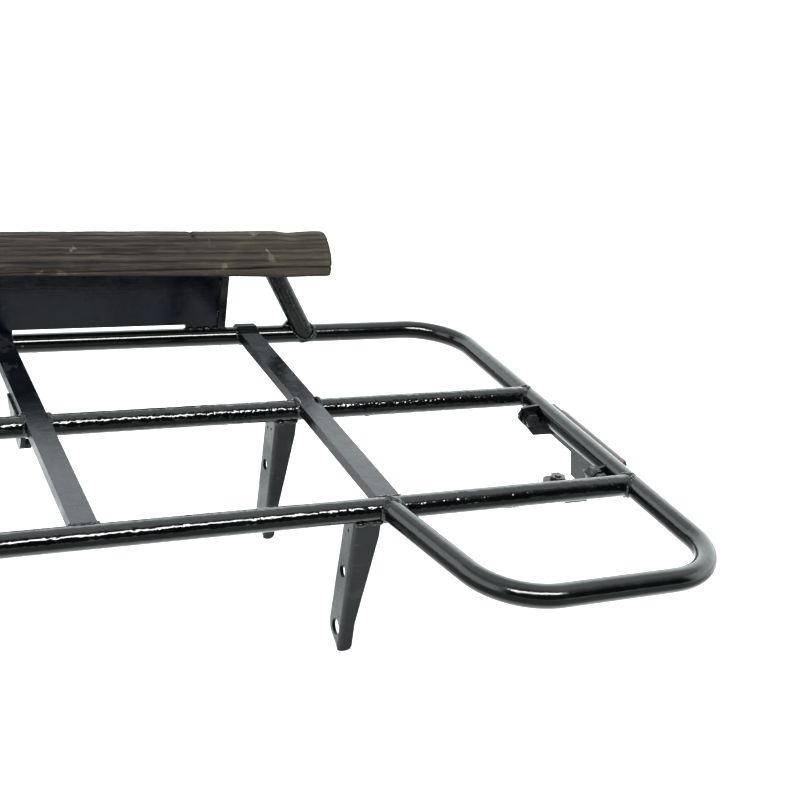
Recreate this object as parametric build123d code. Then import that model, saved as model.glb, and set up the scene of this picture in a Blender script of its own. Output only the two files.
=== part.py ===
from build123d import *
import math
import os

os.makedirs("parts", exist_ok=True)

# ---------------------------------------------------------------- driving dimensions (mm)
TUBE_R = 10.0            # rails and hoops: 20 mm round tube
TUBE_WALL = 2.0
RAIL_Z = 139.0           # height of every rail's axis above the feet
Y_REAR = 266.0           # rear rail axis
Y_INNER = 75.5           # inner rail, rear
Y_NEAR = -123.5          # inner rail, front
Y_LOBE = -280.5          # front run of the two end lobes
X_END = 502.5            # end rails
BEND_R = 60.0            # centreline radius of every bend in the hoops
X_LOBE_CORNER = 286.6    # where the lobe's side run meets its front run, before the bend
X_LOBE_ROOT = 255.5      # where the lobe's side run meets the front inner rail
X_BUTT = 325.5           # butt joint of the rear rail and the end hoops, under the strut feet

BAR_W = 21.0             # cross bars: flat bar
BAR_T = 10.0
BAR_TOP = 148.0
BAR_LAP_TOP = 151.4      # bar end lapped over the rear rail
X_BAR = 257.0

CORE_Z = 231.0           # tube inside the pad
CORE_R = 10.0
CORE_HALF = 329.0
PAD_HALF = 338.6
PAD_FRONT, PAD_BACK = 243.5, 290.5
PAD_BOTTOM, PAD_TOP = 215.0, 253.5

STRUT_R = 10.3
STRUT_FOOT_X = 325.3
STRUT_TOP_X = 270.5
STRUT_LAP = 3.6         # strut end past the rail axis, along the strut
STRUT_Y = 262.0          # struts stand 4 mm in front of the rear rail's axis

PANEL_HALF = 234.0
PANEL_T = 2.0
SLOT_H = 4.6
SLOT_X0, SLOT_X1 = 12.4, 190.6

PLATE = 3.0              # leg brackets
LEG_X = 226.0            # outer face of the drilled flange
LEG_HOLE_R = 7.5
LEG_MID_R = 5.5
LEG_HOLE_Z = 18.5
LEG_MID_Z = 74.5

PIVOT_X, PIVOT_Z = 484.5, 133.0      # reflector bracket pivot line, along Y
PIVOT_R = 4.0
RUN_CLEAR = 0.05
BR_X0, BR_T = 519.5, 2.5             # bracket's outer plate
BR_Y0, BR_Y1 = -86.0, 56.0
BR_Z0, BR_Z1 = 108.5, 139.5
LUG1_Y0, LUG1_Y1 = 35.0, 37.5
LUG2_Y0, LUG2_Y1 = -96.0, -93.5


# ---------------------------------------------------------------- helpers
def cyl_x(x0, x1, y, z, r):
    p = Plane(origin=(x0, y, z), x_dir=(0, 1, 0), z_dir=(1, 0, 0))
    return extrude(p * Circle(r), amount=x1 - x0)


def cyl_y(y0, y1, x, z, r):
    p = Plane(origin=(x, y0, z), x_dir=(1, 0, 0), z_dir=(0, 1, 0))
    return extrude(p * Circle(r), amount=y1 - y0)


def cyl_z(z0, z1, x, y, r):
    p = Plane(origin=(x, y, z0), x_dir=(1, 0, 0), z_dir=(0, 0, 1))
    return extrude(p * Circle(r), amount=z1 - z0)


def cyl_between(a, b, r):
    a, b = Vector(*a), Vector(*b)
    d = b - a
    p = Plane(origin=a, z_dir=d)
    return extrude(p * Circle(r), amount=d.length)


def block(x0, x1, y0, y1, z0, z1):
    return Pos((x0 + x1) / 2, (y0 + y1) / 2, (z0 + z1) / 2) * Box(x1 - x0, y1 - y0, z1 - z0)


def prism_xz(pts, y0, y1):
    """Closed outline in X and Z, extruded from y0 to y1."""
    p = Plane(origin=(0, y0, 0), x_dir=(1, 0, 0), z_dir=(0, -1, 0))
    face = make_face(Polyline(*[(x, z) for x, z in pts], close=True))
    return extrude(p * face, amount=-(y1 - y0))


def prism_yz(pts, x0, x1):
    """Closed outline in Y and Z, extruded from x0 to x1."""
    p = Plane(origin=(x0, 0, 0), x_dir=(0, 1, 0), z_dir=(1, 0, 0))
    face = make_face(Polyline(*[(y, z) for y, z in pts], close=True))
    return extrude(p * face, amount=x1 - x0)


def hex_y(y0, y1, x, z, af):
    p = Plane(origin=(x, y0, z), x_dir=(1, 0, 0), z_dir=(0, 1, 0))
    return extrude(p * RegularPolygon(af / 2, 6, major_radius=False), amount=y1 - y0)


def hex_z(z0, z1, x, y, af):
    p = Plane(origin=(x, y, z0), x_dir=(1, 0, 0), z_dir=(0, 0, 1))
    return extrude(p * RegularPolygon(af / 2, 6, major_radius=False), amount=z1 - z0)


def hex_x(x0, x1, y, z, af):
    p = Plane(origin=(x0, y, z), x_dir=(0, 1, 0), z_dir=(1, 0, 0))
    return extrude(p * RegularPolygon(af / 2, 6, major_radius=False), amount=x1 - x0)


def mirrored(shape):
    return mirror(shape, about=Plane.YZ)


nodes = {}


def solids_of(shape):
    return list(shape.solids())


def put(name, *shapes):
    out = []
    for s in shapes:
        out += solids_of(s)
    nodes[name] = out


def put_pair(stem, *shapes):
    put(stem + "_right", *shapes)
    put(stem + "_left", *[mirrored(s) for s in shapes])


# ---------------------------------------------------------------- perimeter: rear rail and two bent end hoops
rear_rail = cyl_x(-X_BUTT, X_BUTT, Y_REAR, RAIL_Z, TUBE_R) - cyl_x(
    -X_BUTT, X_BUTT, Y_REAR, RAIL_Z, TUBE_R - TUBE_WALL)
put("rear_rail", rear_rail)



def end_hoop(side):
    """Bent tube: rear corner, end rail, and the lobe whose side run is coped to the front inner rail."""
    path = FilletPolyline(
        (side * X_BUTT, Y_REAR, RAIL_Z),
        (side * X_END, Y_REAR, RAIL_Z),
        (side * X_END, Y_LOBE, RAIL_Z),
        (side * X_LOBE_CORNER, Y_LOBE, RAIL_Z),
        (side * X_LOBE_ROOT, Y_NEAR, RAIL_Z),
        radius=BEND_R,
    )
    start = Plane(origin=(side * X_BUTT, Y_REAR, RAIL_Z), x_dir=(0, 0, -1), z_dir=(side, 0, 0))
    h = sweep(start * Circle(TUBE_R), path=path) - sweep(start * Circle(TUBE_R - TUBE_WALL), path=path)
    h = h - near_solid
    # whatever stands behind the front inner rail after the cope is scrap
    h = h - block(min(side * 200, side * 300), max(side * 200, side * 300), Y_NEAR, Y_NEAR + 25,
                  RAIL_Z - 15, RAIL_Z + 15)
    return max(h.solids(), key=lambda s: s.volume)


near_solid = cyl_x(-X_END, X_END, Y_NEAR, RAIL_Z, TUBE_R)
put("end_hoop_right", end_hoop(1))
put("end_hoop_left", end_hoop(-1))

# ---------------------------------------------------------------- inner rails
end_solids = cyl_y(Y_LOBE, Y_REAR, X_END, RAIL_Z, TUBE_R) + cyl_y(Y_LOBE, Y_REAR, -X_END, RAIL_Z, TUBE_R)


def straight_rail(y):
    t = cyl_x(-X_END, X_END, y, RAIL_Z, TUBE_R) - cyl_x(-X_END, X_END, y, RAIL_Z, TUBE_R - TUBE_WALL)
    t = t - end_solids
    t = t - block(X_END, X_END + 20, y - 15, y + 15, RAIL_Z - 15, RAIL_Z + 15)
    t = t - block(-X_END - 20, -X_END, y - 15, y + 15, RAIL_Z - 15, RAIL_Z + 15)
    return max(t.solids(), key=lambda s: s.volume)


inner_rear = straight_rail(Y_INNER)
for xb in (-X_BAR, 0.0, X_BAR):
    inner_rear = inner_rear - block(xb - BAR_W / 2, xb + BAR_W / 2, Y_INNER - 20, Y_INNER + 20,
                                    BAR_TOP - BAR_T, BAR_TOP + 5)
inner_front = straight_rail(Y_NEAR)
put("inner_rail_rear", max(inner_rear.solids(), key=lambda s: s.volume))
put("inner_rail_front", inner_front)

# ---------------------------------------------------------------- cross bars, let into the rear inner rail
bar_profile = [
    (Y_NEAR, BAR_TOP - BAR_T), (258.0, BAR_TOP - BAR_T), (258.0, 143.0), (273.0, 143.0),
    (273.0, 149.3), (270.0, 151.0), (261.0, BAR_LAP_TOP), (249.0, BAR_TOP), (Y_NEAR, BAR_TOP),
]
rear_solid = cyl_x(-X_BUTT, X_BUTT, Y_REAR, RAIL_Z, TUBE_R)
bar = prism_yz(bar_profile, -BAR_W / 2, BAR_W / 2) - near_solid - rear_solid
bar = max(bar.solids(), key=lambda s: s.volume)
put("cross_bar_centre", bar)
put("cross_bar_right", Pos(X_BAR, 0, 0) * bar)
put("cross_bar_left", Pos(-X_BAR, 0, 0) * bar)


# ---------------------------------------------------------------- legs: folded angle brackets
def leg(fold_y, rail_y, back_top, back_low, hole_y, mid_y, drains, edge_top, edge_low):
    """Flange A faces the middle of the rack and is drilled; flange B faces forward and tapers."""
    x0 = LEG_X
    f = fold_y
    flange_a = prism_yz([
        (f, 134.0), (back_top, 131.0), (back_top, 113.0), (back_low, 20.0), (back_low - 2.0, 13.0),
        (back_low - 6.5, 9.3), (f + 8.0, 5.0), (f + 1.0, 0.6), (f, 0.0),
    ], x0, x0 + PLATE)
    flange_b = prism_xz([
        (x0, 134.0), (edge_top, 134.0), (edge_top, 114.0), (edge_low, 27.0), (edge_low, 4.0),
        (edge_low - 1.2, 1.2), (edge_low - 4.0, 0.0), (x0, 0.0),
    ], f, f + PLATE)
    body = flange_a + flange_b
    # rounded fold
    corner = [e for e in body.edges().filter_by(Axis.Z)
              if abs(e.center().X - x0) < 0.01 and abs(e.center().Y - f) < 0.01]
    if corner:
        body = fillet(corner, 4.0)
    inner = [e for e in body.edges().filter_by(Axis.Z)
             if abs(e.center().X - x0 - PLATE) < 0.01 and abs(e.center().Y - f - PLATE) < 0.01]
    if inner:
        try:
            body = fillet(inner, 1.2)
        except Exception:
            pass
    body = body - cyl_x(x0 - 5, x0 + 40, rail_y, RAIL_Z, TUBE_R)
    body = body - block(x0 - 5, x0 + 40, f - 5, rail_y + 40, RAIL_Z - 4.0, RAIL_Z + 10)
    body = body - cyl_x(x0 - 5, x0 + PLATE + 3, hole_y, LEG_HOLE_Z, LEG_HOLE_R)
    body = body - cyl_x(x0 - 5, x0 + PLATE + 3, mid_y, LEG_MID_Z, LEG_MID_R)
    for dy, dz in drains:
        body = body - cyl_x(x0 - 5, x0 + PLATE + 3, dy, dz, 1.3)
    return max(body.solids(), key=lambda s: s.volume)


leg_front = leg(-125.5, Y_NEAR, -103.5, -100.5, -114.0, -113.5, [(-113.9, 115.0)], 250.0, 238.5)
leg_rear = leg(73.0, Y_INNER, 101.0, 101.5, 88.0, 90.5, [(93.3, 113.5), (83.8, 116.0)], 246.8, 236.5)
put_pair("leg_front", leg_front)
put_pair("leg_rear", leg_rear)

# ---------------------------------------------------------------- lug plate under the centre bar
lug_pts = [(150.0, 138.0), (146.0, 135.5), (138.5, 130.0), (128.4, 123.6), (112.0, 117.5), (97.0, 112.9),
           (86.0, 112.9), (79.5, 116.5), (77.0, 123.0), (77.0, 131.0), (89.0, 131.0), (96.5, 129.0), (106.0, 134.0),
           (114.0, 138.0)]
centre_lug = prism_yz(lug_pts, -12.5, -8.5) + block(-12.5, -1.5, 84.5, 96.5, 112.9, 116.9)
centre_lug = centre_lug - cyl_x(-30, 30, Y_INNER, RAIL_Z, TUBE_R)
put("centre_lug", max(centre_lug.solids(), key=lambda s: s.volume))

# ---------------------------------------------------------------- pad: core tube, end discs, struts, gussets
core_solid = cyl_x(-CORE_HALF, CORE_HALF, Y_REAR, CORE_Z, CORE_R)
core = core_solid - cyl_x(-CORE_HALF, CORE_HALF, Y_REAR, CORE_Z, CORE_R - TUBE_WALL)
put("pad_core_tube", core)
disc = cyl_x(CORE_HALF, CORE_HALF + 3.0, Y_REAR, CORE_Z, CORE_R - 0.3)
put("pad_core_end_discs", disc, mirrored(disc))

foot = (STRUT_FOOT_X, STRUT_Y, RAIL_Z)
top = (STRUT_TOP_X, STRUT_Y, CORE_Z)
sx, sz = top[0] - foot[0], top[2] - foot[2]
sl = math.hypot(sx, sz)
ux, uz = sx / sl, sz / sl
low = (foot[0] - STRUT_LAP * ux, STRUT_Y, foot[2] - STRUT_LAP * uz)
strut = cyl_between(low, top, STRUT_R) - cyl_between(low, top, STRUT_R - TUBE_WALL)
strut = strut - cyl_x(200, 420, Y_REAR, RAIL_Z, TUBE_R) - core_solid
strut = strut - block(200, 400, 200, 300, CORE_Z, CORE_Z + 30)
strut = max(strut.solids(), key=lambda s: s.volume)
put_pair("pad_strut", strut)

strut_full = cyl_between(low, top, STRUT_R)
gusset = prism_xz([(299.0, 149.0), (325.0, 149.0), (313.0, 163.5), (309.5, 161.0)], 264.0, 267.0) - strut_full
gusset = gusset - cyl_x(250, 400, Y_REAR, RAIL_Z, TUBE_R)
gusset = max(gusset.solids(), key=lambda s: -s.center().X)
put_pair("strut_gusset", gusset)

# ---------------------------------------------------------------- back panel under the pad
panel = block(-PANEL_HALF, PANEL_HALF, Y_REAR - PANEL_T / 2, Y_REAR + PANEL_T / 2,
              RAIL_Z + TUBE_R, CORE_Z - CORE_R)


def slot_cut(x0, x1):
    z0 = RAIL_Z + TUBE_R
    r = SLOT_H / 2
    pts = [(x0, z0 - 1), (x1 - r, z0 - 1)]
    for k in range(9):
        a = math.radians(-90 + k * 22.5)
        pts.append((x1 - r + r * math.cos(a), z0 + r + r * math.sin(a)))
    pts += [(x0, z0 + SLOT_H)]
    return prism_xz(pts, Y_REAR - 3, Y_REAR + 3)


slot_r = slot_cut(SLOT_X0, SLOT_X1)
panel = panel - slot_r - mirrored(slot_r)
panel = panel - core_solid - rear_solid
# notch over the lapped end of the centre bar
panel = panel - block(-BAR_W / 2 - 0.2, BAR_W / 2 + 0.2, Y_REAR - 3, Y_REAR + 3, RAIL_Z, BAR_LAP_TOP)
put("back_panel", max(panel.solids(), key=lambda s: s.volume))
edge_bar = block(225.0, 233.0, Y_REAR - PANEL_T / 2 - 3.0, Y_REAR - PANEL_T / 2, RAIL_Z + TUBE_R + 0.2,
                 CORE_Z - CORE_R - 2.0)
edge_bar = edge_bar - rear_solid - core_solid
put_pair("panel_edge_bar", edge_bar)

# ---------------------------------------------------------------- ribbed sleeve over the core tube
with BuildSketch(Plane(origin=(-PAD_HALF, 0, 0), x_dir=(0, 1, 0), z_dir=(1, 0, 0))) as pad_sk:
    with BuildLine():
        Polyline(
            (PAD_FRONT, PAD_BOTTOM), (PAD_BACK, PAD_BOTTOM), (PAD_BACK, PAD_TOP), (PAD_FRONT, PAD_TOP),
            close=True)
    make_face()
    vs = pad_sk.vertices().sort_by(Axis.Z)
    lows, highs = vs[:2], vs[2:]
    fillet(lows, 5.0)
    fillet(pad_sk.vertices().sort_by(Axis.Z)[-2:], 22.0)
pad = extrude(pad_sk.sketch, amount=2 * PAD_HALF)
pad = pad - cyl_x(-CORE_HALF - 4, CORE_HALF + 4, Y_REAR, CORE_Z, CORE_R + 0.05)
# slit along the underside that lets the panel, its edge bars and the struts in
pad = pad - block(-PANEL_HALF - 1, PANEL_HALF + 1, Y_REAR - 4.4, Y_REAR + 1.4, PAD_BOTTOM - 2, CORE_Z)
wide = cyl_between(low, (top[0] + ux, top[1], top[2] + uz), STRUT_R + 0.5)
pad = pad - wide - mirrored(wide)
pad = max(pad.solids(), key=lambda s: s.volume)
put("ribbed_pad", pad)

# ---------------------------------------------------------------- reflector bracket, tilting on a line along Y
eye_r = 8.3
lug_outline = [(476.6, 129.6), (492.2, 113.8), (BR_X0, 113.4), (BR_X0, 128.1), (486.0, 128.1)]


def bracket_lug(y0, y1):
    b = prism_xz(lug_outline, y0, y1) + cyl_y(y0, y1, PIVOT_X, PIVOT_Z, eye_r)
    return b - cyl_y(y0 - 1, y1 + 1, PIVOT_X, PIVOT_Z, PIVOT_R + RUN_CLEAR)


SCREW_Y = (-58.0, 24.0)
SCREW_Z = 124.0
plate = block(BR_X0, BR_X0 + BR_T, BR_Y0, BR_Y1, BR_Z0, BR_Z1)
corners = [e for e in plate.edges().filter_by(Axis.X)]
plate = fillet(corners, 5.0)
tongue = prism_yz([(0.0, 116.0), (3.5, 108.5), (-4.0, 86.0), (-30.0, 86.0), (-50.0, 96.0), (-56.0, 108.5), (-50.0, 116.0)],
                  BR_X0, BR_X0 + BR_T)
shelf = block(BR_X0, BR_X0 + BR_T, LUG2_Y0, -76.0, BR_Z0, 128.1)
bracket = plate + tongue + shelf + bracket_lug(LUG1_Y0, LUG1_Y1) + bracket_lug(LUG2_Y0, LUG2_Y1)
for sy in SCREW_Y:
    bracket = bracket - cyl_x(BR_X0 - 1, BR_X0 + BR_T + 1, sy, SCREW_Z, 2.1)
put_pair("reflector_bracket", max(bracket.solids(), key=lambda s: s.volume))

# reflector: black backing tray with a clear red block on its face
REF_Y0, REF_Y1, REF_Z0, REF_Z1 = -80.0, 44.0, 110.0, 138.5
TRAY_T = 2.2
hx0 = BR_X0 + BR_T
housing = block(hx0, hx0 + TRAY_T, REF_Y0, REF_Y1, REF_Z0, REF_Z1)
housing = fillet(housing.edges().filter_by(Axis.X), 6.0)
lens = block(hx0 + TRAY_T, hx0 + 6.0, REF_Y0 + 0.5, REF_Y1 - 0.5, REF_Z0 + 0.5, REF_Z1 - 0.5)
lens = fillet(lens.edges().filter_by(Axis.X), 5.5)
lens = fillet(lens.faces().sort_by(Axis.X)[-1].edges(), 0.8)
for sy in SCREW_Y:
    housing = housing - cyl_x(hx0 - 1, hx0 + 3.0, sy, SCREW_Z, 2.05)
put_pair("reflector_housing", housing)
put_pair("reflector_lens", lens)
studs, nuts = [], []
for sy in SCREW_Y:
    studs.append(cyl_x(BR_X0 - 5.0, hx0 + 2.0, sy, SCREW_Z, 2.0))
    nuts.append(hex_x(BR_X0 - 3.2, BR_X0, sy, SCREW_Z, 7.0) - cyl_x(BR_X0 - 4, BR_X0 + 1, sy, SCREW_Z, 2.02))
put_pair("reflector_studs", *studs)
put_pair("reflector_nuts", *nuts)

# fixed tabs on the end rail that carry the pivots
end_cut = cyl_y(Y_LOBE, Y_REAR, X_END, RAIL_Z, TUBE_R)


def pivot_tab(outline, y0, y1):
    t = prism_xz(outline, y0, y1) + cyl_y(y0, y1, PIVOT_X, PIVOT_Z, 7.6)
    t = t - end_cut - cyl_y(y0 - 1, y1 + 1, PIVOT_X, PIVOT_Z, PIVOT_R + RUN_CLEAR)
    return max(t.solids(), key=lambda s: s.volume)


TAB1 = (LUG1_Y1 + 0.3, LUG1_Y1 + 3.3)
TAB2 = (LUG2_Y1 + 0.3, LUG2_Y1 + 3.3)
big_tab = [(475.8, 143.3), (473.4, 131.6), (480.5, 124.8), (497.0, 120.6), (509.0, 122.0), (510.5, 134.0), (501.0, 146.0),
           (487.0, 145.2)]
small_tab = [(481.5, 140.0), (501.0, 146.0), (502.4, 131.0), (487.5, 126.0)]
put_pair("pivot_tabs", pivot_tab(big_tab, *TAB1), pivot_tab(small_tab, *TAB2))

# pivot bolts: head and washer in front of each moving lug, nut behind each fixed tab
for name, lug_y, tab in (("rear_pivot", LUG1_Y0, TAB1), ("front_pivot", LUG2_Y0, TAB2)):
    bolt = cyl_y(lug_y - 1.8, tab[1] + 8.0, PIVOT_X, PIVOT_Z, PIVOT_R) + hex_y(
        lug_y - 1.8 - 5.3, lug_y - 1.8, PIVOT_X, PIVOT_Z, 13.0)
    put_pair(name + "_bolt", bolt)
    washer = cyl_y(lug_y - 1.8, lug_y - 0.3, PIVOT_X, PIVOT_Z, 8.0) - cyl_y(
        lug_y - 3, lug_y, PIVOT_X, PIVOT_Z, PIVOT_R + 0.05)
    put_pair(name + "_washer", washer)
    nut = hex_y(tab[1], tab[1] + 6.5, PIVOT_X, PIVOT_Z, 13.0) - cyl_y(
        tab[1] - 1, tab[1] + 8, PIVOT_X, PIVOT_Z, PIVOT_R + 0.02)
    put_pair(name + "_nut", nut)

# flat tab with its own bolt, under the front inner rail near each end
TAB_X0, TAB_X1, TAB_BX, TAB_BY = 434.0, 457.0, 447.0, -86.0
rail_tab = block(TAB_X0, TAB_X1, Y_NEAR, -76.0, RAIL_Z - TUBE_R - 3.0, RAIL_Z - TUBE_R)
rail_tab = fillet(rail_tab.edges().filter_by(Axis.Z).sort_by(Axis.Y)[-2:], 8.0)
rail_tab = rail_tab - cyl_z(120, 135, TAB_BX, TAB_BY, 3.05)
put_pair("rail_tab", rail_tab)
tz1 = RAIL_Z - TUBE_R
tab_bolt = cyl_z(tz1 - 3.0, tz1 + 5.6, TAB_BX, TAB_BY, 3.0) + hex_z(tz1 - 7.0, tz1 - 3.0, TAB_BX, TAB_BY, 10.0)
tab_nut = hex_z(tz1, tz1 + 4.6, TAB_BX, TAB_BY, 13.0) - cyl_z(tz1 - 1, tz1 + 6, TAB_BX, TAB_BY, 3.02)
put_pair("rail_tab_bolt", tab_bolt)
put_pair("rail_tab_nut", tab_nut)

# ---------------------------------------------------------------- export, one file per node
for name, sols in nodes.items():
    shape = sols[0] if len(sols) == 1 else Compound(children=sols)
    shape.label = name
    export_step(shape, "parts/" + name + ".step")
print(len(nodes), "nodes")
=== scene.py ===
import math
import random

import bpy
import bmesh
import numpy as np
from mathutils import Matrix, Vector, noise


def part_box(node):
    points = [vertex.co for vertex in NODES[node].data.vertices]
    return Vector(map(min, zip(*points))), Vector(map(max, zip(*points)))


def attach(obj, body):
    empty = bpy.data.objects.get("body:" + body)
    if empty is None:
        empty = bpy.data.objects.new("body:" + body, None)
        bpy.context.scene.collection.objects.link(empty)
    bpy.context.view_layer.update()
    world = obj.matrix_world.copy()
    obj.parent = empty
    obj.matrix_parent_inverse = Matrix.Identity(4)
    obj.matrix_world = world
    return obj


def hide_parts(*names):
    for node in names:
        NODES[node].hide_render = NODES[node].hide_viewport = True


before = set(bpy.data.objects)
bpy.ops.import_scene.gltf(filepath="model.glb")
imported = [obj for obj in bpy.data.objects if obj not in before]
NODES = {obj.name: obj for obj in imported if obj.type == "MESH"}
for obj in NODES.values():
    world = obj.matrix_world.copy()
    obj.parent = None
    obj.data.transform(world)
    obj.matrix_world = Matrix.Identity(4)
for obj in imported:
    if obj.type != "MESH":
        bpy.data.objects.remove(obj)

random.seed(82)
RNG = np.random.default_rng(82)
noise.seed_set(82)

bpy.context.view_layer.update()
COLL = bpy.context.scene.collection
MM = 0.001

# sizes taken from the CAD nodes, in mm
TUBE_R = 10.0
lo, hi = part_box("rear_rail")
Y_REAR = (lo.y + hi.y) / 2 / MM
RAIL_Z = (lo.z + hi.z) / 2 / MM
X_BUTT = hi.x / MM
lo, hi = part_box("inner_rail_rear")
Y_INNER = (lo.y + hi.y) / 2 / MM
lo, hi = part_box("inner_rail_front")
Y_NEAR = (lo.y + hi.y) / 2 / MM
X_END = hi.x / MM
lo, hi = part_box("cross_bar_right")
X_BAR = (lo.x + hi.x) / 2 / MM
BAR_W = (hi.x - lo.x) / MM
BAR_TOP = 148.0
lo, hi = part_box("pad_core_tube")
CORE_Z = (lo.z + hi.z) / 2 / MM
lo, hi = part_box("ribbed_pad")
PAD = (lo.x / MM, hi.x / MM, lo.y / MM, hi.y / MM, lo.z / MM, hi.z / MM)


# ================================================================ small tools
def new_object(name, verts, faces, mat=None, smooth=True, body="frame"):
    me = bpy.data.meshes.new(name)
    me.from_pydata([tuple(v) for v in verts], [], [tuple(f) for f in faces])
    me.validate()
    ob = bpy.data.objects.new(name, me)
    COLL.objects.link(ob)
    if smooth:
        for p in me.polygons:
            p.use_smooth = True
    if mat is not None:
        me.materials.append(mat)
    if body:
        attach(ob, body)
    return ob


def give(node, mat):
    ob = NODES[node]
    ob.data.materials.clear()
    ob.data.materials.append(mat)


class Mat:
    """A Principled material built from position-driven nodes."""

    def __init__(self, name):
        self.m = bpy.data.materials.new(name)
        self.m.use_nodes = True
        self.nt = self.m.node_tree
        self.nt.nodes.clear()
        self.out = self.n("ShaderNodeOutputMaterial")
        self.p = self.n("ShaderNodeBsdfPrincipled")
        self.nt.links.new(self.p.outputs[0], self.out.inputs[0])
        self.co = self.n("ShaderNodeTexCoord")
        self.obj = self.co.outputs["Object"]

    def n(self, kind, **props):
        nd = self.nt.nodes.new(kind)
        for k, v in props.items():
            setattr(nd, k, v)
        return nd

    def link(self, a, b):
        self.nt.links.new(a, b)

    def scaled(self, sx, sy, sz, rot=(0, 0, 0)):
        mp = self.n("ShaderNodeMapping")
        mp.inputs["Scale"].default_value = (sx, sy, sz)
        mp.inputs["Rotation"].default_value = rot
        self.link(self.obj, mp.inputs["Vector"])
        return mp.outputs[0]

    def noise(self, scale, detail=3.0, rough=0.5, dist=0.0, vec=None):
        nd = self.n("ShaderNodeTexNoise")
        nd.inputs["Scale"].default_value = scale
        nd.inputs["Detail"].default_value = detail
        nd.inputs["Roughness"].default_value = rough
        nd.inputs["Distortion"].default_value = dist
        self.link(vec if vec is not None else self.obj, nd.inputs["Vector"])
        return nd.outputs["Fac"]

    def voronoi(self, scale, feature="F1", vec=None, rnd=1.0):
        nd = self.n("ShaderNodeTexVoronoi", feature=feature)
        nd.inputs["Scale"].default_value = scale
        nd.inputs["Randomness"].default_value = rnd
        self.link(vec if vec is not None else self.obj, nd.inputs["Vector"])
        return nd.outputs["Distance"]

    def ramp(self, fac, stops, interp="LINEAR"):
        nd = self.n("ShaderNodeValToRGB")
        cr = nd.color_ramp
        cr.interpolation = interp
        while len(cr.elements) > 1:
            cr.elements.remove(cr.elements[-1])
        cr.elements[0].position = stops[0][0]
        cr.elements[0].color = self.rgba(stops[0][1])
        for pos, col in stops[1:]:
            e = cr.elements.new(pos)
            e.color = self.rgba(col)
        self.link(fac, nd.inputs["Fac"])
        return nd.outputs["Color"]

    @staticmethod
    def rgba(c):
        if isinstance(c, (int, float)):
            return (c, c, c, 1.0)
        return (c[0], c[1], c[2], 1.0)

    def mix(self, fac, a, b, blend="MIX"):
        nd = self.n("ShaderNodeMix", data_type="RGBA", blend_type=blend)
        for sock, val in ((nd.inputs[0], fac), (nd.inputs[6], a), (nd.inputs[7], b)):
            if isinstance(val, (int, float)):
                sock.default_value = val if sock == nd.inputs[0] else (val, val, val, 1)
            elif isinstance(val, tuple):
                sock.default_value = self.rgba(val)
            else:
                self.link(val, sock)
        return nd.outputs[2]

    def math(self, op, a, b=0.5, clamp=False):
        nd = self.n("ShaderNodeMath", operation=op)
        nd.use_clamp = clamp
        for i, val in enumerate((a, b)):
            if isinstance(val, (int, float)):
                nd.inputs[i].default_value = val
            else:
                self.link(val, nd.inputs[i])
        return nd.outputs[0]

    def bump(self, height, strength, distance, normal=None):
        nd = self.n("ShaderNodeBump")
        nd.inputs["Strength"].default_value = strength
        nd.inputs["Distance"].default_value = distance
        self.link(height, nd.inputs["Height"])
        if normal is not None:
            self.link(normal, nd.inputs["Normal"])
        return nd.outputs["Normal"]

    def attr(self, name):
        nd = self.n("ShaderNodeAttribute", attribute_name=name)
        return nd.outputs["Fac"]

    def set(self, **kw):
        for k, v in kw.items():
            sock = self.p.inputs[k.replace("_", " ")]
            if isinstance(v, (int, float)):
                sock.default_value = v
            elif isinstance(v, tuple):
                sock.default_value = self.rgba(v) if len(v) == 3 and sock.type == "RGBA" else v
            else:
                self.link(v, sock)
        return self


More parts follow.
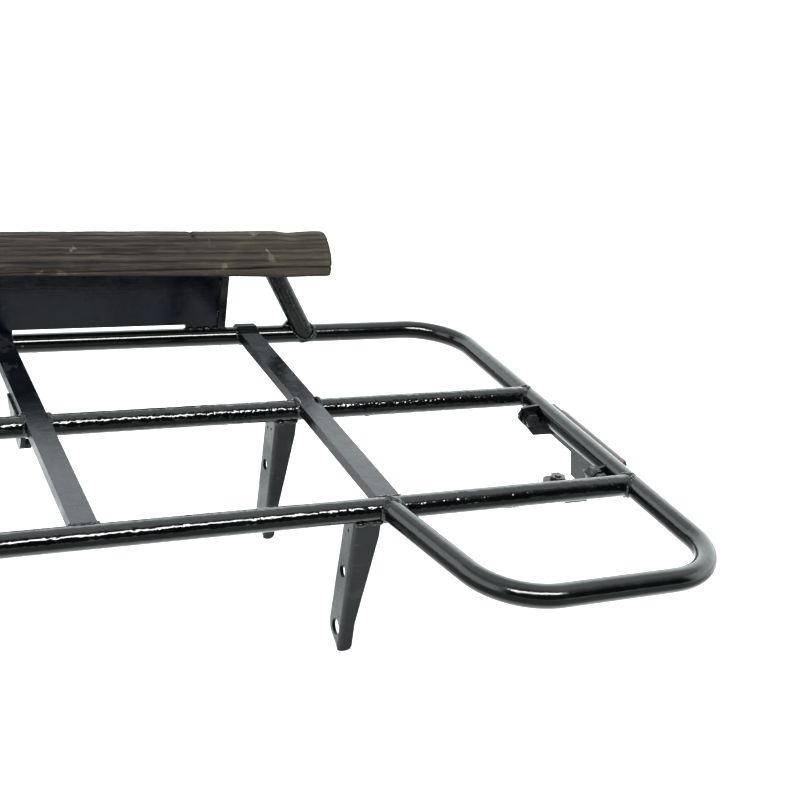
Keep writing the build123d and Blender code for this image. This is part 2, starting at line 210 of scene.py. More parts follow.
# ================================================================ materials
def paint(name, base, dark, rough_lo, rough_hi, lump=1.0, lump_scale=95.0, fine_amt=0.06, scratch=0.0, chips=0.0, spec=0.5,
          coat=0.0, brush_amt=0.45, detail=4.0, band=False, painted_far_dimming=False, flange=False):
    """Brushed-on enamel: colour drift, brush lines, lumps, pinholes and a few worn chips."""
    m = Mat(name)
    big = m.noise(14.0, 3.0, 0.55)
    mid = m.noise(lump_scale, detail, 0.5, 0.3)
    fine = m.noise(520.0, 3.0, 0.6)
    brush = m.noise(60.0, 4.0, 0.7, 0.2, vec=m.scaled(0.35, 6.0, 6.0))
    col = m.mix(m.ramp(big, [(0.3, 0.0), (0.7, 1.0)]), dark, base)
    # painted highlight: the crests of the mid-scale lumps are mixed towards a lighter colour (about 1.9 times the
    # base)
    col = m.mix(m.math("MULTIPLY", m.ramp(mid, [(0.62, 0.0), (0.78, 1.0)]), 0.35), col,
                tuple(min(1.0, c * 1.9 + 0.004) for c in base))
    rough = m.ramp(m.math("ADD", m.math("MULTIPLY", mid, 0.6), m.math("MULTIPLY", big, 0.4)),
                   [(0.35, rough_lo), (0.68, rough_hi)])
    if scratch:
        sc = m.noise(30.0, 6.0, 0.75, 0.0, vec=m.scaled(1.0, 10.0, 10.0, (0.2, 0.1, 0.4)))
        rub = m.math("MULTIPLY", m.ramp(sc, [(0.60, 0.0), (0.70, 1.0)]), scratch)
        col = m.mix(rub, col, (0.13, 0.13, 0.14))
        patch = m.ramp(m.noise(26.0, 3.0, 0.6, 0.8), [(0.56, 0.0), (0.62, 1.0)])
        col = m.mix(m.math("MULTIPLY", patch, scratch * 0.8), col, (0.085, 0.088, 0.098))
        rough = m.math("ADD", rough, m.math("MULTIPLY", patch, 0.10))
    if chips:
        v = m.noise(70.0, 2.0, 0.4)
        v2 = m.noise(18.0, 2.0, 0.5)
        chip = m.math("MULTIPLY", m.ramp(v, [(0.735, 0.0), (0.75, 1.0)]), m.ramp(v2, [(0.55, 0.0), (0.6, 1.0)]))
        col = m.mix(m.math("MULTIPLY", chip, chips), col, (0.30, 0.27, 0.23))
    h = m.math("ADD", m.math("MULTIPLY", mid, 0.9), m.math("MULTIPLY", brush, brush_amt))
    h = m.math("ADD", h, m.math("MULTIPLY", fine, fine_amt))
    nrm = m.bump(h, min(1.0, 0.55 * lump), 0.0016 * max(1.0, 0.55 * lump))
    m.set(Base_Color=col, Roughness=rough, Normal=nrm)
    m.p.inputs["Specular IOR Level"].default_value = spec
    if band or flange:
        sep = m.n("ShaderNodeSeparateXYZ")
        m.link(m.co.outputs["Normal"], sep.inputs[0])
    if band:
        # painted shade: the reflection is cut to about a fifth around the side of the round, from slightly down-facing
        # to slightly up-facing (normal z about -0.2 to +0.2), drawing a dark band below the highlight
        painted_dark_band = m.ramp(m.math("ADD", m.math("MULTIPLY", sep.outputs[2], 0.5), 0.5),
                      [(0.33, 1.0), (0.41, 0.22), (0.60, 0.22), (0.66, 1.0)])
        m.link(m.math("MULTIPLY", painted_dark_band, spec), m.p.inputs["Specular IOR Level"])
    if flange:
        # painted sheen: faces turned towards +X or -X get extra reflection, scaled by the flange amount
        painted_side_sheen = m.math("ABSOLUTE", sep.outputs[0], 0.0)
        m.link(m.math("ADD", m.math("MULTIPLY", painted_side_sheen, flange), spec), m.p.inputs["Specular IOR Level"])
    if painted_far_dimming:
        # painted shade: the reflection is turned down with y (the near factor), so the parts further back look darker
        # than the near ones
        pos = m.n("ShaderNodeSeparateXYZ")
        m.link(m.obj, pos.inputs[0])
        near = m.math("ADD", m.math("MULTIPLY", pos.outputs[1], -4.3), 0.84, clamp=True)
        near = m.math("ADD", m.math("MULTIPLY", near, 0.95), 0.05)
        m.link(m.math("MULTIPLY", near, spec), m.p.inputs["Specular IOR Level"])
    if coat:
        m.p.inputs["Coat Weight"].default_value = coat
        m.p.inputs["Coat Roughness"].default_value = 0.06
    return m.m


TUBE_A, TUBE_B = (0.0030, 0.0040, 0.0038), (0.0012, 0.0015, 0.0017)
M_TUBE = paint("paint_tube_gloss", TUBE_A, TUBE_B, 0.05, 0.10, lump=0.20, lump_scale=60.0, chips=0.25, brush_amt=0.2,
               spec=0.64, band=True)
M_HOOP = paint("paint_hoop_gloss", TUBE_A, TUBE_B, 0.10, 0.20, lump=0.30, lump_scale=110.0, chips=0.3, brush_amt=0.25,
               spec=0.62, band=True)
M_LUMPY = paint("paint_tube_lumpy", TUBE_A, TUBE_B, 0.05, 0.10, lump=0.95, lump_scale=185.0, fine_amt=0.01, chips=0.2,
                brush_amt=0.08, detail=1.2, spec=0.66, band=True)
M_LUMPY2 = paint("paint_tube_brushed", TUBE_A, TUBE_B, 0.06, 0.12, lump=0.60, lump_scale=165.0, fine_amt=0.01, chips=0.2,
                 brush_amt=0.08, detail=1.0, spec=0.68, band=True)
M_STRUT = paint("paint_strut_lumpy", TUBE_A, TUBE_B, 0.10, 0.22, lump=1.1, lump_scale=150.0, chips=0.3, brush_amt=0.5, spec=0.30)
M_BAR = paint("paint_bar_satin", (0.0065, 0.0080, 0.0110), (0.0022, 0.0028, 0.0046), 0.17, 0.27, lump=0.30, scratch=0.24,
              chips=0.2, spec=0.36, painted_far_dimming=True)
M_LEG = paint("paint_bracket", (0.0036, 0.0048, 0.0056), (0.0018, 0.0025, 0.0030), 0.20, 0.34, lump=0.35, scratch=0.14,
              chips=0.5, spec=0.32, flange=0.34)
M_PANEL = paint("paint_panel", (0.0020, 0.0042, 0.0100), (0.0006, 0.0012, 0.0036), 0.12, 0.24, lump=0.18, scratch=0.02,
                spec=0.24)
M_WELD = paint("paint_over_weld", (0.0040, 0.0050, 0.0050), (0.0016, 0.0020, 0.0022), 0.03, 0.08, lump=1.3,
               lump_scale=300.0, chips=0.2, detail=1.5)
M_FAST = paint("paint_over_fastener", (0.0060, 0.0070, 0.0075), (0.0025, 0.0030, 0.0034), 0.18, 0.34, lump=0.6, chips=0.6)


def chip_material():
    m = Mat("chipped_to_primer")
    v = m.noise(300.0, 3.0, 0.6)
    m.set(Base_Color=m.mix(v, (0.36, 0.31, 0.24), (0.62, 0.58, 0.50)), Roughness=0.6, Normal=m.bump(v, 0.6, 0.0004))
    return m.m


M_CHIP = chip_material()


def pad_material():
    m = Mat("pad_aged_rubber")
    along = m.scaled(0.35, 1.0, 1.0)
    big = m.noise(9.0, 4.0, 0.6, 0.3, vec=along)
    mid = m.noise(42.0, 5.0, 0.62, 0.3, vec=m.scaled(0.6, 1.0, 1.0))
    fine = m.noise(900.0, 4.0, 0.6)
    streak = m.noise(45.0, 5.0, 0.72, 0.15, vec=m.scaled(0.35, 7.0, 7.0))
    col = m.mix(m.ramp(big, [(0.30, 0.0), (0.70, 1.0)]), (0.0120, 0.0085, 0.0062), (0.0260, 0.0195, 0.0148))
    col = m.mix(m.math("MULTIPLY", m.ramp(streak, [(0.46, 0.0), (0.62, 1.0)]), 0.62), col, (0.078, 0.064, 0.048))
    dark = m.noise(38.0, 5.0, 0.72, 0.2, vec=m.scaled(0.28, 6.0, 6.0))
    col = m.mix(m.math("MULTIPLY", m.ramp(dark, [(0.47, 0.0), (0.60, 1.0)]), 0.88), col, (0.0050, 0.0040, 0.0035))
    green = m.ramp(m.noise(16.0, 3.0, 0.6, 0.5), [(0.54, 0.0), (0.64, 1.0)])
    col = m.mix(m.math("MULTIPLY", green, 0.30), col, (0.060, 0.058, 0.036))
    red = m.ramp(m.noise(11.0, 3.0, 0.6, 0.4), [(0.56, 0.0), (0.66, 1.0)])
    col = m.mix(m.math("MULTIPLY", red, 0.40), col, (0.034, 0.019, 0.016))
    scuff = m.math("MULTIPLY", m.ramp(m.noise(34.0, 3.0, 0.55, 0.6), [(0.64, 0.0), (0.675, 1.0)]),
                   m.ramp(m.noise(150.0, 3.0, 0.6), [(0.38, 0.25), (0.62, 1.0)]))
    col = m.mix(m.math("MULTIPLY", scuff, 0.75), col, (0.190, 0.170, 0.125))
    px = m.n("ShaderNodeSeparateXYZ")
    m.link(m.obj, px.inputs[0])
    out = m.math("SUBTRACT", m.math("ABSOLUTE", px.outputs[0], 0.0), 0.10)
    worn_end = m.math("MULTIPLY", m.math("MULTIPLY", out, 3.2, clamp=True), 0.34)
    col = m.mix(m.math("MULTIPLY", worn_end, m.ramp(mid, [(0.35, 0.3), (0.6, 1.0)])), col, (0.105, 0.094, 0.068))
    ridge = m.attr("ridge")
    col = m.mix(m.math("MULTIPLY", m.math("MULTIPLY", ridge, mid), 0.50), col, (0.088, 0.072, 0.055))
    # painted shade: this attribute darkens the grooves, the slit, the split, the lower front lip, the bore at the ends
    # and the underside
    groove_shade = m.attr("cavity")
    col = m.mix(m.math("MULTIPLY", groove_shade, 0.92, clamp=True), col, (0.006, 0.005, 0.004))
    h = m.math("ADD", m.math("MULTIPLY", mid, 0.8), m.math("MULTIPLY", fine, 0.18))
    h = m.math("ADD", h, m.math("MULTIPLY", m.voronoi(260.0), 0.25))
    m.set(Base_Color=col, Roughness=m.ramp(mid, [(0.3, 0.55), (0.7, 0.82)]), Normal=m.bump(h, 0.6, 0.0013))
    m.p.inputs["Specular IOR Level"].default_value = 0.26
    return m.m


def lens_material():
    m = Mat("lens_red")
    vec = m.scaled(1.0, 1.0, 1.0)
    v = m.voronoi(190.0, vec=vec, rnd=0.0)
    cell = m.ramp(v, [(0.10, 1.0), (0.55, 0.0)])
    col = m.mix(cell, (0.090, 0.018, 0.015), (0.17, 0.045, 0.038))
    m.set(Base_Color=col, Roughness=0.12, Normal=m.bump(v, 0.35, 0.0012))
    m.p.inputs["Transmission Weight"].default_value = 0.25
    m.p.inputs["IOR"].default_value = 1.49
    m.p.inputs["Coat Weight"].default_value = 0.35
    m.p.inputs["Coat Roughness"].default_value = 0.08
    return m.m


def housing_material():
    m = Mat("housing_black_plastic")
    fine = m.noise(1400.0, 2.0, 0.5)
    big = m.noise(30.0, 3.0, 0.5)
    m.set(Base_Color=m.mix(big, (0.004, 0.004, 0.0045), (0.008, 0.008, 0.0085)),
          Roughness=m.ramp(big, [(0.3, 0.38), (0.7, 0.5)]), Normal=m.bump(fine, 0.25, 0.0003))
    m.p.inputs["Specular IOR Level"].default_value = 0.12
    return m.m


M_PAD = pad_material()
M_LENS = lens_material()
M_HOUSING = housing_material()

for node in NODES:
    if node.startswith("inner_rail_rear"):
        give(node, M_LUMPY)
    elif node.startswith("inner_rail"):
        give(node, M_LUMPY2)
    elif node.startswith("end_hoop"):
        give(node, M_HOOP)
    elif node.startswith("pad_strut"):
        give(node, M_STRUT)
    elif node.startswith(("rear_rail", "pad_core")):
        give(node, M_TUBE)
    elif node.startswith("cross_bar"):
        give(node, M_BAR)
    elif node.startswith(("leg_", "centre_lug", "reflector_bracket", "rail_tab_left", "rail_tab_right", "pivot_tabs",
                          "strut_gusset")):
        give(node, M_LEG)
    elif node.startswith("panel_edge_bar"):
        give(node, M_LEG)
    elif node.startswith("back_panel"):
        give(node, M_PANEL)
    elif node.startswith("reflector_lens"):
        give(node, M_LENS)
    elif node.startswith("reflector_housing"):
        give(node, M_HOUSING)
    else:
        give(node, M_FAST)


# ================================================================ weld beads
class Beads:
    """Collects lumpy beads into one mesh."""

    def __init__(self):
        self.v, self.f = [], []

    def bead(self, pts, r=2.6, squash=0.75, pitch=3.0, seed=0, up=None, taper=1.0):
        """pts in mm; a bead of radius r laid along them, with ripples every pitch mm."""
        pts = [Vector(p) for p in pts]
        # resample
        d = [0.0]
        for a, b in zip(pts, pts[1:]):
            d.append(d[-1] + (b - a).length)
        total = d[-1]
        n = max(6, int(total / 0.9))
        path = []
        for i in range(n + 1):
            s = total * i / n
            k = 0
            while k < len(d) - 2 and d[k + 1] < s:
                k += 1
            t = 0 if d[k + 1] == d[k] else (s - d[k]) / (d[k + 1] - d[k])
            path.append(pts[k].lerp(pts[k + 1], t))
        sides = 12
        base = len(self.v)
        for i, p in enumerate(path):
            a = path[max(0, i - 1)]
            b = path[min(n, i + 1)]
            tan = (b - a).normalized()
            ref = Vector(up) if up is not None else (Vector((0, 0, 1)) if abs(tan.z) < 0.85 else Vector((0, 1, 0)))
            side = tan.cross(ref).normalized()
            nrm = side.cross(tan).normalized()
            s = total * i / n
            ph = (s / pitch + 0.35 * math.sin(s * 0.7 + seed)) % 1.0
            rip = 0.82 + 0.30 * math.sqrt(max(0.0, 1 - (2 * ph - 1) ** 2))
            wob = 1.0 + 0.30 * noise.noise(Vector((s * 0.16 + seed * 7.1, seed * 3.3, 0.5)))
            end = min(1.0, (min(s, total - s) / (r * 1.3)) + 0.04) ** 0.5 if taper else 1.0
            off = Vector((noise.noise(Vector((s * 0.22, seed, 1.7))), noise.noise(Vector((s * 0.22, seed, 5.7))),
                          noise.noise(Vector((s * 0.22, seed, 9.7))))) * r * 0.30
            rr = r * rip * wob * end
            for k in range(sides):
                an = 2 * math.pi * k / sides
                lump = 1.0 + 0.12 * noise.noise(Vector((s * 0.6, an * 1.5, seed)))
                self.v.append(p + off + (side * math.cos(an) + nrm * math.sin(an) * squash) * rr * lump)
        for i in range(n):
            for k in range(sides):
                a = base + i * sides + k
                b = base + i * sides + (k + 1) % sides
                self.f.append((a, b, b + sides, a + sides))
        self.f.append(tuple(base + k for k in reversed(range(sides))))
        self.f.append(tuple(base + n * sides + k for k in range(sides)))

    def blob(self, p, r, squash=(1, 1, 1), seed=0, amount=0.25):
        """A round spatter or run of paint."""
        base = len(self.v)
        rings, seg = 8, 14
        p = Vector(p)
        for i in range(rings + 1):
            th = math.pi * i / rings
            for k in range(seg):
                ph = 2 * math.pi * k / seg
                d = Vector((math.sin(th) * math.cos(ph), math.sin(th) * math.sin(ph), math.cos(th)))
                rr = r * (1 + amount * noise.noise(d * 1.4 + Vector((seed * 3.7, seed * 1.3, 0))))
                self.v.append(p + Vector((d.x * squash[0], d.y * squash[1], d.z * squash[2])) * rr)
        for i in range(rings):
            for k in range(seg):
                a = base + i * seg + k
                b = base + i * seg + (k + 1) % seg
                self.f.append((a, a + seg, b + seg, b))

    def make(self, name, mat, body="frame"):
        ob = new_object(name, [v * MM for v in self.v], self.f, mat, True, body)
        bm = bmesh.new()
        bm.from_mesh(ob.data)
        bmesh.ops.remove_doubles(bm, verts=bm.verts, dist=1e-6)
        bmesh.ops.recalc_face_normals(bm, faces=bm.faces)
        bm.to_mesh(ob.data)
        bm.free()
        for p in ob.data.polygons:
            p.use_smooth = True
        return ob


def cope(a, d, r, tp, td, R, n=48, lo_ang=0.0, hi_ang=360.0, grow=0.0):
    """Points where a tube (start a, direction d, radius r) meets a cylinder (point tp, direction td, radius R)."""
    a, d, tp, td = Vector(a), Vector(d).normalized(), Vector(tp), Vector(td).normalized()
    ref = Vector((0, 0, 1)) if abs(d.z) < 0.9 else Vector((1, 0, 0))
    u = d.cross(ref).normalized()
    v = u.cross(d).normalized()
    out = []
    for i in range(n + 1):
        an = math.radians(lo_ang + (hi_ang - lo_ang) * i / n)
        s = a + (u * math.cos(an) + v * math.sin(an)) * (r + grow)
        w = s - tp
        A = d - td * d.dot(td)
        B = w - td * w.dot(td)
        qa, qb, qc = A.dot(A), 2 * A.dot(B), B.dot(B) - (R + grow) ** 2
        disc = qb * qb - 4 * qa * qc
        if disc < 0:
            t = -qb / (2 * qa)
        else:
            t = (-qb - math.sqrt(disc)) / (2 * qa)
        out.append(s + d * t)
    return out


w_main = Beads()
seed = 1
for side in (1, -1):
    for y in (Y_INNER, Y_NEAR):
        w_main.bead(cope((side * (X_END - 60), y, RAIL_Z), (side, 0, 0), TUBE_R, (side * X_END, y, RAIL_Z), (0, 1, 0),
                         TUBE_R), r=2.3, seed=seed, taper=0.0)
        seed += 1
# lobe side run on the front inner rail
for side in (1, -1):
    a = Vector((side * 286.6, -280.5, RAIL_Z))
    b = Vector((side * 255.5, Y_NEAR, RAIL_Z))
    w_main.bead(cope(a, b - a, TUBE_R, (0, Y_NEAR, RAIL_Z), (1, 0, 0), TUBE_R), r=2.6, seed=seed, taper=0.0)
    seed += 1
w_main.make("weld_tube_joints", M_WELD)

w_bar = Beads()
for xb in (-X_BAR, 0.0, X_BAR):
    hw = BAR_W / 2
    for sx in (-1, 1):
        # beside the bar, over the notched rail
        pts = [(xb + sx * (hw + 0.8), Y_INNER + 10.2 * math.cos(math.radians(t)), RAIL_Z + 10.2 * math.sin(math.radians(t)))
               for t in range(-20, 201, 10)]
        w_bar.bead(pts, r=2.3, seed=seed)
        seed += 1
        # bar end against the front inner rail, down its sides
        pts = [(xb + sx * (hw + 0.3), Y_NEAR + math.sqrt(max(0, 100 - (z - RAIL_Z) ** 2)) + 0.6, z)
               for z in np.linspace(148.2, 137.5, 8)]
        w_bar.bead(pts, r=1.9, seed=seed)
        seed += 1
        # beside the lapped end on the rear rail
        pts = [(xb + sx * (hw + 0.3), Y_REAR + 10.3 * math.cos(math.radians(t)), RAIL_Z + 10.3 * math.sin(math.radians(t)))
               for t in range(48, 181, 8)]
        w_bar.bead(pts, r=1.9, seed=seed)
        seed += 1
    w_bar.bead([(xb - hw, Y_NEAR + 4.2, 148.3), (xb, Y_NEAR + 4.0, 148.5), (xb + hw, Y_NEAR + 4.2, 148.3)], r=1.7,
               squash=0.6, seed=seed)
    seed += 1
    w_bar.bead([(xb - hw, Y_REAR + 7.6, 146.9), (xb, Y_REAR + 7.8, 147.2), (xb + hw, Y_REAR + 7.6, 146.9)], r=2.0,
               seed=seed)
    seed += 1
    for dy in (-9.6, 9.6):
        w_bar.bead([(xb - hw, Y_INNER + dy, 137.4), (xb + hw, Y_INNER + dy, 137.4)], r=1.9, seed=seed)
        seed += 1
w_bar.make("weld_cross_bars", M_WELD)

w_leg = Beads()
for side in (1, -1):
    for node, y in (("leg_front_", Y_NEAR), ("leg_rear_", Y_INNER)):
        lo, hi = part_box(node + ("right" if side > 0 else "left"))
        xa, xb2 = (lo.x / MM, hi.x / MM)
        yf, yb = lo.y / MM, hi.y / MM
        zt = hi.z / MM
        xin = xa if side > 0 else xb2          # drilled flange is on the inner side
        w_leg.bead([(xa - 0.5, y - 5.5, RAIL_Z - 9.4), ((xa + xb2) / 2, y - 5.7, RAIL_Z - 9.0), (xb2 + 0.5, y - 5.5, RAIL_Z - 9.4)],
                   r=2.5, seed=seed, pitch=4.0)
        seed += 1
        pts = [(xin - side * 0.6, y + 10.3 * math.sin(math.radians(t)), RAIL_Z - 10.3 * math.cos(math.radians(t)))
               for t in range(-35, 86, 8)]
        w_leg.bead(pts, r=2.2, seed=seed)
        seed += 1
        w_leg.blob((xin + side * 3, y - 6.5, RAIL_Z - 10.0), 3.6, (1.2, 0.8, 0.8), seed=seed)
        seed += 1
        w_leg.blob((xin + side * 14, y - 6.4, RAIL_Z - 9.6), 3.0, (1.3, 0.8, 0.7), seed=seed)
        seed += 1
    # tab under the front inner rail
    lo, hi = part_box("rail_tab_right" if side > 0 else "rail_tab_left")
    w_leg.bead([(lo.x / MM, Y_NEAR + 10.6, RAIL_Z - 8.4), (hi.x / MM, Y_NEAR + 10.6, RAIL_Z - 8.4)], r=1.5, seed=seed)
    seed += 1
    # pivot tabs on the end rail
    for y in ((lambda b: b[0].y / MM + 1.5)(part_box("pivot_tabs_right")), (lambda b: b[1].y / MM - 1.5)(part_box("pivot_tabs_right"))):
        pts = [(side * (X_END - 10.4 * math.cos(math.radians(t))), y, RAIL_Z + 10.4 * math.sin(math.radians(t)))
               for t in range(-42, 36, 8)]
        w_leg.bead(pts, r=1.7, seed=seed)
        seed += 1
# lug under the centre bar
w_leg.bead([(-11.0, 150.0, 137.4), (-11.0, 88.0, 137.4)], r=1.5, seed=seed)
seed += 1
w_leg.make("weld_brackets", M_WELD)

w_back = Beads()
for side in (1, -1):
    foot = Vector((side * 325.3, 262.0, RAIL_Z))
    top = Vector((side * 270.5, 262.0, CORE_Z))
    dd = (top - foot).normalized()
    # rim where the strut's cut end laps the front of the rear rail
    pts = cope(top, -dd, 10.3, (0, Y_REAR, RAIL_Z), (1, 0, 0), TUBE_R, n=60, grow=0.2)
    keep = [p for p in pts if p.y > 253.0]
    keep.sort(key=lambda p: math.atan2(p.y - 258.5, (p.x - side * 322) * side))
    back = [p for p in pts if p.y >= 262.5]
    back.sort(key=lambda p: p.x)
    if len(back) > 3:
        w_back.bead(back, r=2.4, seed=seed)
        seed += 1
    # open cut end lapped on the rail's front: a thin lip of weld round a dark hollow
    lip_lines = [(298.3, 158.6, 313.0, 143.8), (302.5, 151.9, 317.3, 136.9), (306.9, 147.3, 321.8, 132.2),
                 (311.4, 143.9, 326.5, 128.7), (317.3, 141.8, 332.5, 126.6), (322.0, 143.7, 337.4, 128.5),
                 (324.9, 147.4, 340.3, 132.2), (325.7, 152.5, 341.2, 137.5), (324.1, 158.3, 339.5, 143.5)]
    rim = []
    for xa, za, xb, zb_ in lip_lines:
        pa, pb = Vector((side * xa, 240.0, za)), Vector((side * xb, 276.0, zb_))
        hit = pb
        for t in np.linspace(0.0, 1.0, 145):
            q = pa.lerp(pb, float(t))
            to = q - foot
            near_strut = (to - dd * to.dot(dd)).length < 11.4 and q.z > 135.0
            if near_strut or math.hypot(q.y - 280.5, q.z - RAIL_Z) < 10.3:
                hit = q
                break
        rim.append(hit)
    w_back.bead(rim, r=1.0, seed=seed, pitch=6.0)
    seed += 1
    w_back.bead([Vector((side * 333.0, 256.5, 135.5)), Vector((side * 335.2, 257.5, 141.0)), Vector((side * 333.4, 259.0, 147.5)),
                 Vector((side * 329.5, 260.0, 151.5))], r=2.5, seed=seed, pitch=4.0)
    seed += 1
    u = Vector((dd.z, 0, -dd.x)).normalized()
    for sx in (-1, 1):
        a = foot + u * sx * 10.4 + Vector((0, -4.6, 0))
        w_back.bead([a, a + Vector((0, 3.2, 0)) + dd * 5.0, a + Vector((0, 5.0, 0)) + dd * 10.5], r=1.8, seed=seed)
        seed += 1
    # two thin ridges of thick paint down the strut
    for off, yy in ((-6.0, -8.2), (1.8, -10.0)):
        pts = [foot + dd * t + u * (off + 0.8 * noise.noise(Vector((t * 0.06, off, 0)))) + Vector((0, yy, 0))
               for t in np.linspace(14, 84, 22)]
        w_back.bead(pts, r=0.75, seed=seed, pitch=9.0)
        seed += 1
    # gusset
    w_back.bead([(side * 299.5, 263.0, 149.6), (side * 306, 262.8, 150.2), (side * 313.5, 262.5, 150.6)], r=2.4, seed=seed)
    seed += 1
    w_back.bead([(side * 308.6, 263.4, 161.0), (side * 312.0, 262.6, 156.5), (side * 315.5, 262.0, 151.5)], r=2.2, seed=seed)
    seed += 1
    # panel welded to the rear rail
    for xw in (196.0, 206.0, 214.0, 224.0, 231.5):
        w_back.bead([(side * (xw - 3.6), 263.6, 149.4), (side * (xw + 3.4), 263.9, 149.2)], r=2.1, seed=seed, squash=0.8)
        seed += 1
    # panel and edge bars up against the core tube
    w_back.bead([(side * 20, 264.2, CORE_Z - 10.4), (side * 228, 264.2, CORE_Z - 10.4)], r=1.8, seed=seed, pitch=4.0)
    seed += 1
    # edge bar stitch
    for zz in (165.0, 200.0):
        w_back.bead([(side * 224.4, 264.4, zz - 4), (side * 224.4, 264.4, zz + 4)], r=1.1, seed=seed)
        seed += 1
w_back.make("weld_back_rail", M_WELD)

chips = Beads()
for side in (1, -1):
    for k, (x, y, z, r) in enumerate(((246.0, 79.0, 145.6, 1.3), (245.3, 74.0, 147.6, 1.1), (245.4, 69.5, 144.0, 1.2),
                                      (244.6, 66.5, 140.0, 0.9), (247.2, 70.5, 149.0, 0.8))):
        chips.blob((side * x, y, z), r, (0.7, 1.0, 1.3), seed=500 + k, amount=0.7)
chips.make("chipped_spots", M_CHIP)

# runs and drips of thick paint
drip = Beads()
for i in range(60):
    rail = RNG.integers(0, 3)
    x = RNG.uniform(-470, 470)
    if rail == 0:
        y = Y_NEAR
    elif rail == 1:
        y = Y_INNER
    elif rail == 2:
        y = Y_REAR
        x = RNG.uniform(-320, 320)
    else:
        y = -280.5
        x = RNG.choice([-1, 1]) * RNG.uniform(345, 440)
    an = RNG.uniform(-35, 35)
    a = math.radians(an)
    drip.blob((x, y + 9.7 * math.sin(a), RAIL_Z - 9.7 * math.cos(a)), RNG.uniform(0.8, 1.5),
              (RNG.uniform(1.5, 4.0), 0.8, 0.7), seed=200 + i)
drip.make("paint_runs", M_WELD)


# ================================================================ ribbed pad
def smooth(t):
    t = max(0.0, min(1.0, t))
    return t * t * (3 - 2 * t)


def pad_profile():
    """Closed section in (y, z), mm, from the lower front corner up the front, over the top and down the back."""
    return [(243.5, 213.6), (241.8, 214.4), (240.9, 217.5), (240.8, 221), (240.9, 225), (241.4, 229), (243.4, 233.3),
            (247.3, 238.2), (251.5, 242.4), (256, 246.1), (261, 249.4), (266.5, 252.0), (272.5, 253.2), (278, 252.4),
            (283, 249.7), (287, 244.6), (289.6, 238.2), (290.4, 231), (290.4, 222), (289, 216), (284, 213.8)]


def resample(pts, n):
    p = np.array(pts + [pts[0]])
    seg = np.linalg.norm(np.diff(p, axis=0), axis=1)
    s = np.concatenate([[0], np.cumsum(seg)])
    t = np.linspace(0, s[-1], n, endpoint=False)
    return np.stack([np.interp(t, s, p[:, 0]), np.interp(t, s, p[:, 1])], 1), t, s[-1]


